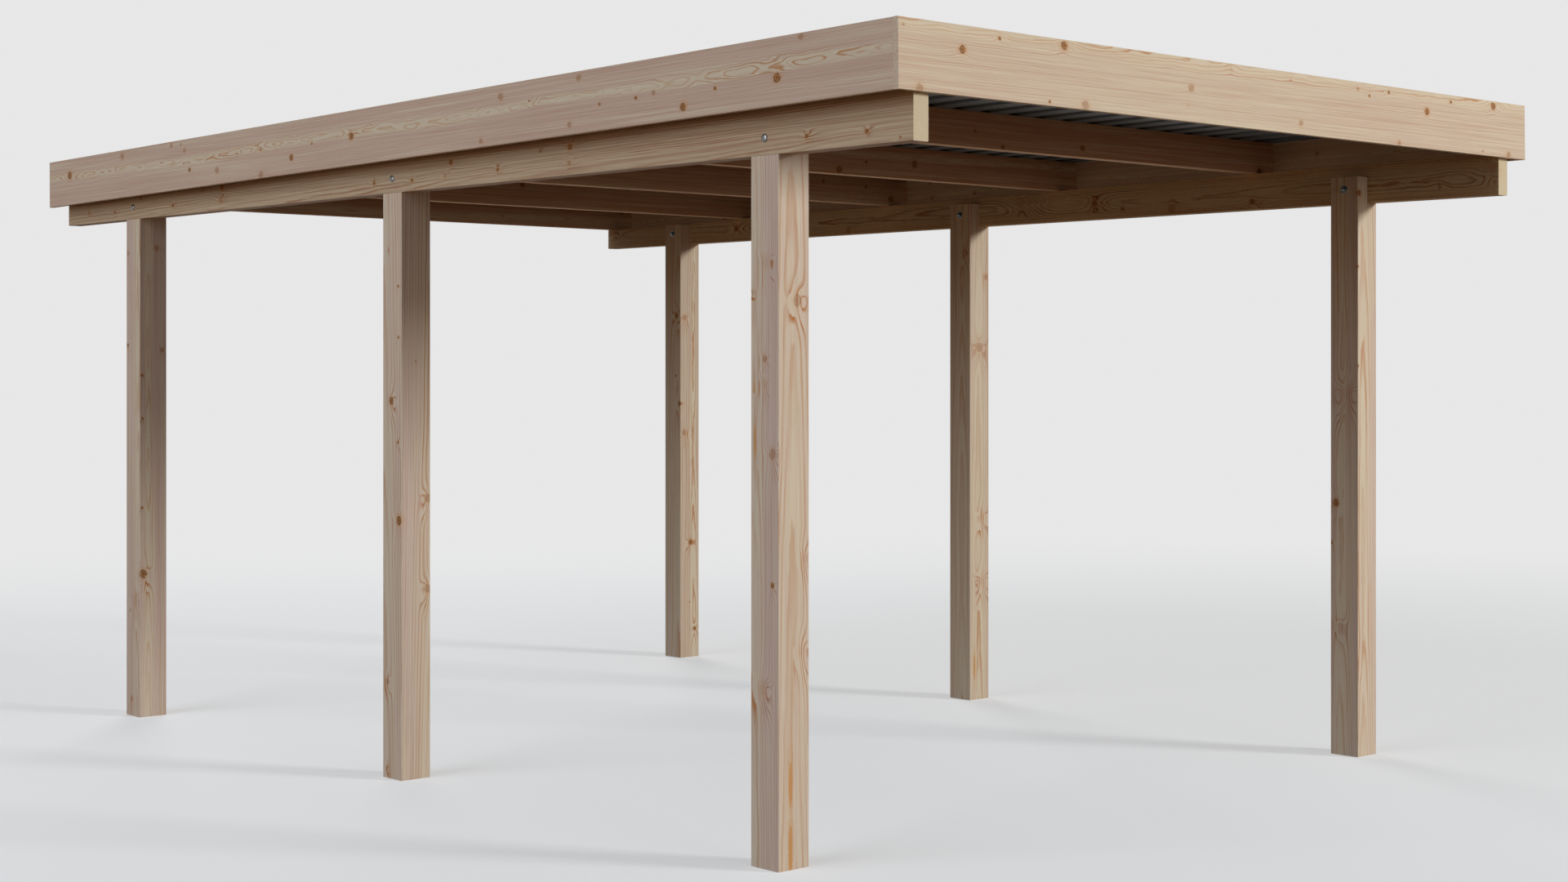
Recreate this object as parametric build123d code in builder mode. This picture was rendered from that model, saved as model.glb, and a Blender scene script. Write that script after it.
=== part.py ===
from build123d import *
from math import atan, ceil, floor, sin, tan
import os

# Open timber carport on six posts, with a flat roof of ribbed metal sheets that falls to the rear.
# Millimetres, +Z up, +Y to the rear, +X to the right for someone who faces the rear.
# The origin is on the ground, under the middle of the roof.

# Posts
POST_SIDE = 120
POST_INSET = 605  # from a beam's end to the middle of the end post; the middle post halves the rest
CLEAR_HEIGHT = 2070  # from the ground to the ledge that carries the beam
TONGUE_CLEARANCE = 8  # the tongue behind the beam stops this far below the beam's top

# Beams, level below and tapered on top
FRAME_WIDTH = 3030  # over the outer faces of the posts and beams
BEAM_THICKNESS = 58
BEAM_LENGTH = 5164
BEAM_FRONT_HEIGHT = 153
BEAM_REAR_HEIGHT = 98

# One bolt through each lap of post and beam
BOLT_HOLE = 11
BOLT_HEIGHT = 50  # above the ledge

# Rafters, set out from the rear
RAFTER_THICKNESS = 45
RAFTER_HEIGHT = 125
RAFTER_SPACING = 1016

# Fascia boards
FASCIA_THICKNESS = 20
FASCIA_HEIGHT = 196
FASCIA_DROP = 22  # below the undersides of the rafters
SIDE_OVERHANG = 81  # from a beam's outer face to the outer face of the side board
REAR_OVERHANG = 15  # from the beams' rear ends to the rear ends of the side boards
BEAM_END_GAP = 3  # from the front board to the beams' front ends

# Eased long edges of all planed timber
EDGE_EASE = 2.5

# Roof sheets, roll-formed with narrow ribs, each lapped over the last rib of the one to its left
SHEET_THICKNESS = 0.6
SHEET_EDGE_GAP = 1  # from the sheets to the front and side boards
RIB_PITCH = 141.3
RIB_OFFSET = 42.6  # from the roof's middle to the first rib on its right
RIB_HEIGHT = 20
RIB_TOP_WIDTH = 33
RIB_FOOT_WIDTH = 65
RIB_BEND_RADIUS = 2.5
LAP_CLEARANCE = 0.2
LAP_LIP = 5  # the upper sheet's free edge stops this far above the pan
SHEET_COVER_RIBS = 7

# Places along and across the frame
roof_length = FASCIA_THICKNESS + BEAM_END_GAP + BEAM_LENGTH + REAR_OVERHANG
roof_width = FRAME_WIDTH + 2 * SIDE_OVERHANG
roof_inner_width = roof_width - 2 * FASCIA_THICKNESS
roof_front = -roof_length / 2
roof_rear = roof_length / 2
fascia_back = roof_front + FASCIA_THICKNESS
beam_front = fascia_back + BEAM_END_GAP
beam_rear = beam_front + BEAM_LENGTH
beam_middle = (beam_front + beam_rear) / 2
beam_offset = (FRAME_WIDTH - BEAM_THICKNESS) / 2
post_offset = (FRAME_WIDTH - POST_SIDE) / 2

sides = {"left": -1, "right": 1}
post_rows = {
    "front": beam_front + POST_INSET,
    "middle": beam_middle,
    "rear": beam_rear - POST_INSET,
}

# Heights of the posts and beams
roof_fall = (BEAM_FRONT_HEIGHT - BEAM_REAR_HEIGHT) / BEAM_LENGTH
roof_pitch = atan(roof_fall)
bolt_level = CLEAR_HEIGHT + BOLT_HEIGHT


def beam_top(y):
    """Height of the beams' sloping top edge at a place along them."""
    return CLEAR_HEIGHT + BEAM_FRONT_HEIGHT - (y - beam_front) * roof_fall


post_top = min(beam_top(y) for y in post_rows.values()) - TONGUE_CLEARANCE

# The roof is one flat frame that lies on the beams' tops. Its own axes are X across, Y down the fall
# and Z square to it, and its start puts the middle of the fascia boards over the origin.
fascia_middle = FASCIA_HEIGHT / 2 - FASCIA_DROP
roof_start = -fascia_middle * sin(roof_pitch)
roof = Plane(
    origin=(0, roof_start, beam_top(roof_start)),
    x_dir=(1, 0, 0),
    z_dir=(0, roof_fall, 1),
)


def plane_across(x, y, z):
    """Section plane square to X at a place in the roof's axes, drawn in the roof's Y and Z."""
    return Plane(roof.from_local_coords((x, y, z)), x_dir=roof.y_dir, z_dir=roof.x_dir)


def plane_along(x, y, z):
    """Section plane square to the fall at a place in the roof's axes, drawn in X and the roof's Z."""
    return Plane(roof.from_local_coords((x, y, z)), x_dir=roof.x_dir, z_dir=-roof.y_dir)


def save(solid, name):
    """Label a finished piece and write it to its own file."""
    solid.label = name
    export_step(solid, f"parts/{name}.step")


def make_post(side, row):
    """Square post whose outer half is cut away for the beam, leaving a ledge and a tongue."""
    with BuildPart() as post:
        with BuildSketch(Plane((side * post_offset, row, 0))):
            Rectangle(POST_SIDE, POST_SIDE)
            chamfer(vertices(), EDGE_EASE)
        extrude(amount=post_top)
        with BuildSketch(Plane((side * beam_offset, row, CLEAR_HEIGHT))):
            Rectangle(BEAM_THICKNESS, POST_SIDE)
        extrude(amount=post_top - CLEAR_HEIGHT, mode=Mode.SUBTRACT)
        with BuildSketch(Plane.YZ.offset(side * post_offset)):
            with Locations((row, bolt_level)):
                Circle(BOLT_HOLE / 2)
        extrude(amount=POST_SIDE, both=True, mode=Mode.SUBTRACT)
    return post.part


def make_beam(side):
    """Long beam with a level underside, a top cut to the roof's fall, and a bolt hole at each post."""
    with BuildPart() as beam:
        with BuildSketch(Plane.YZ.offset(side * beam_offset)):
            with BuildLine():
                Polyline(
                    (beam_front, CLEAR_HEIGHT),
                    (beam_rear, CLEAR_HEIGHT),
                    (beam_rear, CLEAR_HEIGHT + BEAM_REAR_HEIGHT),
                    (beam_front, CLEAR_HEIGHT + BEAM_FRONT_HEIGHT),
                    close=True,
                )
            make_face()
        extrude(amount=BEAM_THICKNESS / 2, both=True)
        chamfer(edges().sort_by(SortBy.LENGTH)[-4:], EDGE_EASE)
        with BuildSketch(Plane.YZ.offset(side * beam_offset)):
            with Locations(*[(row, bolt_level) for row in post_rows.values()]):
                Circle(BOLT_HOLE / 2)
        extrude(amount=BEAM_THICKNESS, both=True, mode=Mode.SUBTRACT)
    return beam.part


def make_cross_timber(length, thickness, height, front, bottom):
    """Straight timber across the roof, with its long edges eased."""
    with BuildPart() as timber:
        with BuildSketch(plane_across(-length / 2, front, bottom)):
            Rectangle(thickness, height, align=Align.MIN)
            chamfer(vertices(), EDGE_EASE)
        extrude(amount=length)
    return timber.part


def make_side_board(side):
    """Side fascia board, from the back of the front board to the roof's rear end."""
    with BuildPart() as board:
        with BuildSketch(plane_along(side * (roof_width - FASCIA_THICKNESS) / 2, roof_rear, -FASCIA_DROP)):
            Rectangle(FASCIA_THICKNESS, FASCIA_HEIGHT, align=(Align.CENTER, Align.MIN))
            chamfer(vertices(), EDGE_EASE)
        extrude(amount=roof_rear - fascia_back)
    return board.part


# Slope of a rib's webs, and how much a rib grows to lie over the rib of the sheet below
web_run = (RIB_FOOT_WIDTH - RIB_TOP_WIDTH) / 2
web_angle = atan(RIB_HEIGHT / web_run)
lap_growth = SHEET_THICKNESS + LAP_CLEARANCE


def rib_points(number, growth):
    """Corners of a rib's underside from left to right, moved outwards by the growth."""
    centre = RIB_OFFSET + number * RIB_PITCH
    half_foot = RIB_FOOT_WIDTH / 2 + growth / sin(web_angle)
    half_top = RIB_TOP_WIDTH / 2 + growth * tan(web_angle / 2)
    top = RIB_HEIGHT + growth
    return [
        (centre - half_foot, 0),
        (centre - half_top, top),
        (centre + half_top, top),
        (centre + half_foot, 0),
    ]


def sheet_points(first_rib, last_rib):
    """Underside of one sheet from its left edge to its right edge."""
    if first_rib == leftmost_rib:
        points = [(-sheet_edge, 0)] + rib_points(first_rib, 0)
    else:
        points = rib_points(first_rib, lap_growth)
        web_foot, web_head = points[0], points[1]
        lip_share = LAP_LIP / web_head[1]
        points[0] = (web_foot[0] + lip_share * (web_head[0] - web_foot[0]), LAP_LIP)
    for number in range(first_rib + 1, last_rib + 1):
        points += rib_points(number, 0)
    if last_rib == rightmost_rib:
        points.append((sheet_edge, 0))
    return points


def make_sheet(first_rib, last_rib):
    """Ribbed roof sheet: the bent line of its underside, thickened upwards and run down the fall."""
    with BuildPart() as sheet:
        with BuildSketch(plane_along(0, roof_rear, RAFTER_HEIGHT)):
            with BuildLine():
                FilletPolyline(*sheet_points(first_rib, last_rib), radius=RIB_BEND_RADIUS)
                offset(amount=SHEET_THICKNESS, side=Side.LEFT)
            make_face()
        extrude(amount=roof_rear - fascia_back - SHEET_EDGE_GAP)
    return sheet.part


os.makedirs("parts", exist_ok=True)

# Posts and beams
for side_name, side in sides.items():
    for row_name, row in post_rows.items():
        save(make_post(side, row), f"{side_name}_{row_name}_post")
    save(make_beam(side), f"{side_name}_beam")
    save(make_side_board(side), f"{side_name}_fascia")

# Front board
save(make_cross_timber(roof_width, FASCIA_THICKNESS, FASCIA_HEIGHT, roof_front, -FASCIA_DROP), "front_fascia")

# Rafters: one against the front board, the rest at the spacing from the rear one
rear_rafter = roof_rear - REAR_OVERHANG - RAFTER_THICKNESS
bays = round((rear_rafter - fascia_back) / RAFTER_SPACING)
rafters = {"front_rafter": fascia_back, "rear_rafter": rear_rafter}
for bay in range(1, bays):
    rafters[f"rafter_{bays + 1 - bay}"] = rear_rafter - bay * RAFTER_SPACING
for name, front in rafters.items():
    save(make_cross_timber(roof_inner_width, RAFTER_THICKNESS, RAFTER_HEIGHT, front, 0), name)

# Roof sheets, numbered from the left
sheet_edge = roof_inner_width / 2 - SHEET_EDGE_GAP
rib_reach = sheet_edge - RIB_FOOT_WIDTH / 2
leftmost_rib = ceil((-rib_reach - RIB_OFFSET) / RIB_PITCH)
rightmost_rib = floor((rib_reach - RIB_OFFSET) / RIB_PITCH)
for number, first_rib in enumerate(range(leftmost_rib, rightmost_rib, SHEET_COVER_RIBS), start=1):
    last_rib = min(first_rib + SHEET_COVER_RIBS, rightmost_rib)
    save(make_sheet(first_rib, last_rib), f"roof_sheet_{number}")
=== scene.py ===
"""Looks of an open timber carport: planed larch, coated roof sheets, zinc-plated bolts, a pale studio.

Metres, +Z up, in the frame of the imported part: +Y runs to the rear and +X to the right of someone who
faces the rear. Every timber is cut from a virtual log, so its rings, flat figure and end grain belong
together on all its faces.
"""

import logging
import math
from collections.abc import Callable, Iterable
from dataclasses import dataclass, field
from enum import Enum

import bpy
import numpy as np
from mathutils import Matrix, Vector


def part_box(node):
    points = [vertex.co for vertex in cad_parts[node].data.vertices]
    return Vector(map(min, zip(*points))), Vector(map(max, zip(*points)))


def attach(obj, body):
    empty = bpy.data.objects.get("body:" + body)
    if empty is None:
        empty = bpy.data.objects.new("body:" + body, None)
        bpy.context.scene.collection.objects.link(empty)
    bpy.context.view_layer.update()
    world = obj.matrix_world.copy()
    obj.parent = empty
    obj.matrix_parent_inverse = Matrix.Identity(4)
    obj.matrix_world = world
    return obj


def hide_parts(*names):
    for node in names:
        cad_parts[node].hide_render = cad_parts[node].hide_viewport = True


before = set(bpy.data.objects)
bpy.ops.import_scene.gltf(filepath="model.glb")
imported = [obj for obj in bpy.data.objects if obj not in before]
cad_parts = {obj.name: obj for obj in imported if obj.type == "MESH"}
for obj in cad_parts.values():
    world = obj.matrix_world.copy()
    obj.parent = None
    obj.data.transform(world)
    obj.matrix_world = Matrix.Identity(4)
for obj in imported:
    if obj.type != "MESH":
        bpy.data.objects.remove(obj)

Array = np.ndarray
Colour = tuple[float, float, float]
Place = tuple[float, float, float]
Piece = bpy.types.Object
Material = bpy.types.Material
Node = bpy.types.Node
Socket = bpy.types.NodeSocket
Tree = bpy.types.NodeTree

BODY = "root"
MM = 0.001
TURN = 2 * math.pi
WELD = 1e-5  # points nearer than this become one
CELL = 0.03  # longest cell of a timber's grid
EDGE_STRIP = 0.004  # width of the grid's strip beside an edge
EASE = 0.0025  # radius of the eased edges
EASE_STEPS = 3
SAWN = 1  # material slot of the sawn ends
LOG_STRETCH = 7.3  # length of log from one timber's start to the next one's

NO_KNOT = (1.0, 1.0, 0.01, 0.0)  # along, across, radius and darkness far from any knot
STREAK_STRETCH = 9.0  # how many times longer than wide a streak of resin is
BRANCH_DEPTH = 0.025  # a branch shows at least this far in from its face
BRANCH_SPREAD = 2.5  # and at least this many radii in
BRANCH_LENGTH = 3.0  # radii from a branch's face to its tip
BRANCH_TIP = 0.05  # share of the radius that is left there
THIN_HALF = 0.0125  # half the thickness of a board that branches go right through
KNOT_SPACING = 0.6  # mean distance of knots on a face that lists none
KNOT_ROOM = 0.025  # half the width of the narrowest face that gets such knots
KNOT_MARGIN = 0.9  # share of the width that they keep to
KNOT_RADIUS, KNOT_GROWTH = 0.003, 0.010  # their least radius, and how much chance adds to it

BLACK: Colour = (0.0, 0.0, 0.0)
GREY: Colour = (0.5, 0.5, 0.5)

log = logging.getLogger("carport")


def srgb(red: int, green: int, blue: int) -> Colour:
    """Linear colour of an 8-bit display colour.

    Args:
        red: Red from 0 to 255.
        green: Green from 0 to 255.
        blue: Blue from 0 to 255.

    Returns:
        The linear red, green and blue.
    """
    shares = np.array([red, green, blue]) / 255
    linear = np.where(shares <= 0.04045, shares / 12.92, ((shares + 0.055) / 1.055) ** 2.4)
    return tuple(float(value) for value in linear)


class Face(Enum):
    """Long faces of a timber: the profile axis that they face, and its sign."""

    A_MAX = (0, 1)
    A_MIN = (0, -1)
    B_MAX = (1, 1)
    B_MIN = (1, -1)


class KnotKind(Enum):
    """Kinds of knot by how dark their core and rim are, below 0 for a streak of resin without a knot."""

    DARK = 1.0
    PALE = 0.4
    WHORL = 0.0
    STREAK = -0.85


A_MAX, A_MIN, B_MAX, B_MIN = Face
DARK, PALE, WHORL, STREAK = KnotKind


@dataclass(frozen=True)
class Knot:
    """A branch that shows on one long face.

    Attributes:
        face: The face that it comes out of.
        kind: How it looks.
        along: Distance from the timber's start.
        across: Place across that face, from the timber's middle line.
        radius: Radius where it shows.
    """

    face: Face
    kind: KnotKind
    along: float
    across: float
    radius: float

    def stretch(self) -> float:
        """How many times longer than wide it is."""
        return STREAK_STRETCH if self.kind is STREAK else 1.0


def knots(face: Face, kind: KnotKind, *places: tuple[float, float, float]) -> tuple[Knot, ...]:
    """Knots of one kind on one face, from distances along, places across and radii in millimetres."""
    return tuple(Knot(face, kind, along * MM, across * MM, radius * MM) for along, across, radius in places)


@dataclass(frozen=True)
class Figure:
    """How a timber was cut from its log.

    Attributes:
        pith: Place of the log's pith in the timber's profile, from the middle of the section, in
            millimetres.
        knots: Knots that are seen on it.
        tone: From 0 for pinkish wood to 1 for yellowish wood.
    """

    pith: tuple[float, float]
    knots: tuple[Knot, ...] = ()
    tone: float = 0.5


@dataclass
class Shell:
    """Patches of one piece, put together before they become a mesh.

    Points carry their normal and their edge mark. Points that coincide are welded at the end, and
    corners keep the values of their own patch.
    """

    points: list[Array] = field(default_factory=list)
    normals: list[Array] = field(default_factory=list)
    marks: list[Array] = field(default_factory=list)
    faces: list[Array] = field(default_factory=list)
    slots: list[Array] = field(default_factory=list)
    count: int = 0

    def add(self, points: Array, normals: Array, marks: Array, faces: Array, slot: int = 0) -> None:
        """Add a patch.

        Args:
            points: Points, one row each.
            normals: Normals of the points.
            marks: Edge mark of each point, 1 on an eased edge.
            faces: Corner numbers of each face within the patch, one row each.
            slot: Material slot of the faces.
        """
        self.points.append(points)
        self.normals.append(normals)
        self.marks.append(marks)
        self.faces.append(faces + self.count)
        self.slots.append(np.full(len(faces), slot))
        self.count += len(points)

    def add_grid(self, points: Array, normals: Array, marks: object = 0.0, closed: bool = True) -> None:
        """Add a grid of points as quads.

        Args:
            points: Points in rows along the path and columns round the profile.
            normals: Normals of the columns.
            marks: Edge marks of the columns.
            closed: Whether the last column joins the first.
        """
        shape = points.shape[:2]
        normals = np.broadcast_to(normals, points.shape).reshape(-1, 3)
        marks = np.broadcast_to(marks, shape).ravel()
        self.add(points.reshape(-1, 3), normals, marks, grid_quads(*shape, closed))

    def add_facets(self, points: Array, closed: bool = True) -> None:
        """Add a grid of points as quads that are each flat.

        Args:
            points: Points in rows and columns.
            closed: Whether the last column joins the first.
        """
        corners = points.reshape(-1, 3)[grid_quads(*points.shape[:2], closed)]
        cross = np.cross(corners[:, 2] - corners[:, 0], corners[:, 3] - corners[:, 1])
        normals = cross / np.linalg.norm(cross, axis=1, keepdims=True)
        faces = np.arange(4 * len(corners)).reshape(-1, 4)
        self.add(corners.reshape(-1, 3), np.repeat(normals, 4, axis=0), np.zeros(faces.size), faces)

    def add_flat(self, outline: Array, normal: Array, slot: int = 0) -> None:
        """Add one flat face.

        Args:
            outline: Corners in order, anticlockwise seen from outside.
            normal: Outward normal.
            slot: Material slot of the face.
        """
        count = len(outline)
        self.add(outline, np.tile(normal, (count, 1)), np.zeros(count), np.arange(count)[None], slot)

    def corners(self) -> Array:
        """Point number of every face corner, in the mesh's order."""
        return np.concatenate([patch.ravel() for patch in self.faces])

    def sizes(self) -> Array:
        """Number of corners of every face."""
        return np.concatenate([np.full(len(patch), patch.shape[1]) for patch in self.faces])

    def to_object(self, name: str) -> Piece:
        """Weld the patches into a mesh object in the scene.

        Args:
            name: Name of the piece.

        Returns:
            The new object, at the origin, with its own corner normals.
        """
        points = np.concatenate(self.points)
        keys = np.round(points / WELD).astype(np.int64)
        _, first, welded = np.unique(keys, axis=0, return_index=True, return_inverse=True)
        faces = [face for patch in self.faces for face in welded.ravel()[patch].tolist()]
        mesh = bpy.data.meshes.new(name)
        mesh.from_pydata(points[first].tolist(), [], faces)
        mesh.polygons.foreach_set("material_index", np.concatenate(self.slots))
        mesh.polygons.foreach_set("use_smooth", np.ones(len(faces), bool))
        mesh.normals_split_custom_set(np.concatenate(self.normals)[self.corners()].tolist())
        mesh.update()
        piece = bpy.data.objects.new(name, mesh)
        bpy.context.scene.collection.objects.link(piece)
        return piece


def grid_quads(rows: int, columns: int, closed: bool) -> Array:
    """Corner numbers of the quads of a grid, wound so that they face out.

    Args:
        rows: Rows along the path.
        columns: Columns round the profile.
        closed: Whether the last column joins the first.

    Returns:
        One row of four numbers for each quad.
    """
    numbers = np.arange(rows * columns).reshape(rows, columns)
    after = np.roll(numbers, -1, axis=1)
    quads = np.stack([numbers[:-1], after[:-1], after[1:], numbers[1:]], axis=-1)
    return quads[:, :columns if closed else columns - 1].reshape(-1, 4)


def put_attribute(piece: Piece, name: str, values: Array) -> None:
    """Store a vector of three or four numbers for each face corner.

    Args:
        piece: The mesh object.
        name: Name that the material reads.
        values: One row for each corner.
    """
    kind, key = ("FLOAT_COLOR", "color") if values.shape[1] == 4 else ("FLOAT_VECTOR", "vector")
    attribute = piece.data.attributes.new(name, kind, "CORNER")
    attribute.data.foreach_set(key, values.astype(np.float32).ravel())


def node_points(node: str) -> Array:
    """Vertices of a CAD node.

    Args:
        node: Name of the node.

    Returns:
        One row for each vertex.
    """
    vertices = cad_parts[node].data.vertices
    flat = np.empty(len(vertices) * 3)
    vertices.foreach_get("co", flat)
    return flat.reshape(-1, 3)


def node_box(node: str, axes: Array) -> tuple[Array, Array]:
    """Lowest and highest coordinates of a CAD node along the rows of axes."""
    corners = node_points(node) @ axes.T
    return corners.min(0), corners.max(0)


def beam_taper() -> tuple[float, float]:
    """Measure the taper of the beams.

    Returns:
        How much their tops come down to the rear, and their length.
    """
    points = node_points("left_beam")
    rear = points[:, 1].max()
    rear_top = points[np.isclose(points[:, 1], rear, atol=1e-4), 2].max()
    return float(points[:, 2].max() - rear_top), float(rear - points[:, 1].min())


def roof_axes() -> Array:
    """Turn the frame's axes to the fall of the roof.

    Returns:
        Rows to the right, down the fall, and square to the roof.
    """
    pitch = math.atan2(*beam_taper())
    cos, sin = math.cos(pitch), math.sin(pitch)
    return np.array([[1.0, 0, 0], [0, cos, -sin], [0, sin, cos]])


def stations(low: float, high: float) -> Array:
    """Even places along the grain between two ends."""
    return np.linspace(low, high, max(2, math.ceil((high - low) / CELL) + 1))


def stops(low: float, high: float, extra: tuple[float, ...] = ()) -> Array:
    """Places along one flat side: both ends, a narrow strip beside each, even cells between.

    Args:
        low: Lower end.
        high: Upper end.
        extra: Further places that a column has to stand on.

    Returns:
        The places in rising order.
    """
    inner_low, inner_high = low + EDGE_STRIP, high - EDGE_STRIP
    cells = max(1, math.ceil((inner_high - inner_low) / CELL))
    places = np.concatenate([[low, high], np.linspace(inner_low, inner_high, cells + 1), extra])
    return np.unique(np.round(places, 6))


@dataclass(frozen=True)
class Outline:
    """Profile of a timber: points, their normals and their edge marks."""

    points: Array
    normals: Array
    marks: Array

    def part(self, columns: Array) -> "Outline":
        """Some columns of the profile, in the given order."""
        return Outline(self.points[columns], self.normals[columns], self.marks[columns])


def eased_outline(width: float, height: float, extra: tuple[float, ...] = ()) -> Outline:
    """Outline of a planed section: a rectangle whose corners are quarter rounds.

    The flats carry columns from stops(), and a corner is centre + ease * (cos t, sin t).

    Args:
        width: Size along the profile's first axis.
        height: Size along its second axis.
        extra: Further columns on the two sides that run along the first axis.

    Returns:
        The outline, anticlockwise from the lower left.
    """
    half_a, half_b = width / 2 - EASE, height / 2 - EASE
    run_a, run_b = stops(-half_a, half_a, extra), stops(-half_b, half_b)
    sides = [
        (np.stack([run_a, np.full_like(run_a, -height / 2)], 1), -TURN / 4, (half_a, -half_b)),
        (np.stack([np.full_like(run_b, width / 2), run_b], 1), 0.0, (half_a, half_b)),
        (np.stack([run_a[::-1], np.full_like(run_a, height / 2)], 1), TURN / 4, (-half_a, half_b)),
        (np.stack([np.full_like(run_b, -width / 2), run_b[::-1]], 1), TURN / 2, (-half_a, -half_b)),
    ]
    points, normals, marks = [], [], []
    for flat, angle, centre in sides:
        turn = angle + np.linspace(0, TURN / 4, EASE_STEPS + 2)[1:-1]
        ray = np.stack([np.cos(turn), np.sin(turn)], 1)
        points += [flat, np.array(centre) + EASE * ray]
        normals += [np.tile([math.cos(angle), math.sin(angle)], (len(flat), 1)), ray]
        marks += [np.zeros(len(flat)), np.ones(len(turn))]
    return Outline(np.concatenate(points), np.concatenate(normals), np.concatenate(marks))


@dataclass
class Timber:
    """A straight timber that stands for one CAD node.

    Attributes:
        node: Name of the CAD node.
        axes: Rows are the directions along, across (a) and out (b), right-handed with a x b = along.
        figure: How it was cut.
        number: Its number in the frame, which gives it its own stretch of the log.
        taper: How much its head comes down over its length.
    """

    node: str
    axes: Array
    figure: Figure
    number: int
    taper: float = 0.0
    origin: Array = field(init=False)
    length: float = field(init=False)
    width: float = field(init=False)
    height: float = field(init=False)

    def __post_init__(self) -> None:
        """Measure the CAD node along the timber's own axes."""
        low, high = node_box(self.node, self.axes)
        self.length, self.width, self.height = (high - low).tolist()
        self.origin = np.array([low[0], *(low[1:] + high[1:]) / 2]) @ self.axes

    def carry(self, shell: Shell, outline: Outline, places: Array, closed: bool = True) -> Array:
        """Carry a profile along the grain: point(s, i) = (s, a_i, b_i - taper * s / length * w_i).

        w_i is 0 at the foot of the section and 1 at its head, so a taper keeps its eased edges.

        Args:
            shell: Where the grid goes.
            outline: The profile.
            places: Places along the grain.
            closed: Whether the profile is a loop.

        Returns:
            The points in rows along the grain.
        """
        flat = outline.points
        weight = np.clip(flat[:, 1] / (self.height - 2 * EASE) + 0.5, 0, 1)
        local = np.empty((len(places), len(flat), 3))
        local[..., 0] = places[:, None]
        local[..., 1:] = flat
        local[..., 2] -= self.taper * (places / self.length)[:, None] * weight
        normals = np.concatenate([np.zeros((len(flat), 1)), outline.normals], 1)
        shell.add_grid(local, normals, outline.marks, closed)
        return local

    def build(self) -> Piece:
        """Build a prism with eased long edges and sawn ends, tapered if need be.

        Returns:
            The piece.
        """
        shell = Shell()
        skin = self.carry(shell, eased_outline(self.width, self.height), stations(0, self.length))
        shell.add_flat(skin[0, ::-1], np.array([-1.0, 0, 0]), SAWN)
        shell.add_flat(skin[-1], np.array([1.0, 0, 0]), SAWN)
        return self.dress(shell)

    def dress(self, shell: Shell) -> Piece:
        """Make the mesh object and give its corners their place in the log, their face and their knot.

        Args:
            shell: The piece in local coordinates.

        Returns:
            The piece, in place of its CAD node.
        """
        local = np.concatenate(shell.points)
        normals = np.concatenate(shell.normals)
        marks = np.concatenate(shell.marks)
        corners = shell.corners()
        sizes = shell.sizes()
        sums = np.add.reduceat(local[corners], np.concatenate([[0], np.cumsum(sizes)[:-1]]))
        centres = np.repeat(sums / sizes[:, None], sizes, axis=0)
        shell.points = [self.origin + local @ self.axes]
        shell.normals = [normals @ self.axes]
        piece = shell.to_object(f"{self.node}_timber")
        pith_a, pith_b = np.array(self.figure.pith) * MM
        start = LOG_STRETCH * self.number
        in_log = np.stack([local[:, 1] - pith_a, local[:, 2] - pith_b, local[:, 0] + start], 1)
        put_attribute(piece, "log", in_log[corners])
        put_attribute(piece, "face", np.stack([normals[:, 1], normals[:, 2], marks], 1)[corners])
        put_attribute(piece, "knot", self.knot_offsets(local[corners], centres))
        put_attribute(piece, "tone", np.full((len(corners), 3), self.figure.tone))
        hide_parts(self.node)
        return piece

    def knot_offsets(self, places: Array, centres: Array) -> Array:
        """Offset of each corner from the branch nearest to its face: along, across, radius and darkness.

        A branch runs straight in from its own face, so the offset is linear over a face and round knots
        stay round on any grid. It gets thinner towards the pith, but goes right through a thin board.

        Args:
            places: Corners in local coordinates.
            centres: Middle of the face that each corner belongs to.

        Returns:
            One row for each corner.
        """
        rows = np.tile(NO_KNOT, (len(places), 1))
        nearest = np.full(len(places), np.inf)
        for knot in (*self.figure.knots, *self.hidden_knots()):
            axis, sign = knot.face.value
            other = 2 - axis
            side = (self.width, self.height)[axis] / 2
            stretch = knot.stretch()
            ahead = (centres[:, 0] - knot.along) / 2 / stretch
            reach = np.hypot(ahead, centres[:, other] - knot.across) / knot.radius
            shown = side - sign * centres[:, 1 + axis] < max(BRANCH_DEPTH, BRANCH_SPREAD * knot.radius)
            chosen = shown & (reach < nearest)
            nearest[chosen] = reach[chosen]
            depth = side - sign * places[chosen, 1 + axis]
            cone = np.clip(1 - depth / (BRANCH_LENGTH * knot.radius), BRANCH_TIP, 1)
            rows[chosen, 0] = (places[chosen, 0] - knot.along) / stretch
            rows[chosen, 1] = places[chosen, other] - knot.across
            rows[chosen, 2] = knot.radius * (1.0 if side < THIN_HALF else cone)
            rows[chosen, 3] = knot.kind.value
        return rows

    def hidden_knots(self) -> Iterable[Knot]:
        """Draw knots for the faces whose knots the figure doesn't list.

        Returns:
            About one knot for each length of KNOT_SPACING.
        """
        chance = np.random.default_rng(self.number)
        listed = {knot.face for knot in self.figure.knots}
        for face in Face:
            room = (self.height, self.width)[face.value[0]] / 2
            spots = chance.uniform(size=(round(self.length / KNOT_SPACING), 4))
            if face in listed or room < KNOT_ROOM:
                continue
            for along, across, size, kind in spots:
                yield Knot(face, (DARK, PALE, WHORL)[int(kind * 3)], along * self.length,
                           (2 * across - 1) * room * KNOT_MARGIN, KNOT_RADIUS + KNOT_GROWTH * size ** 2)


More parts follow.
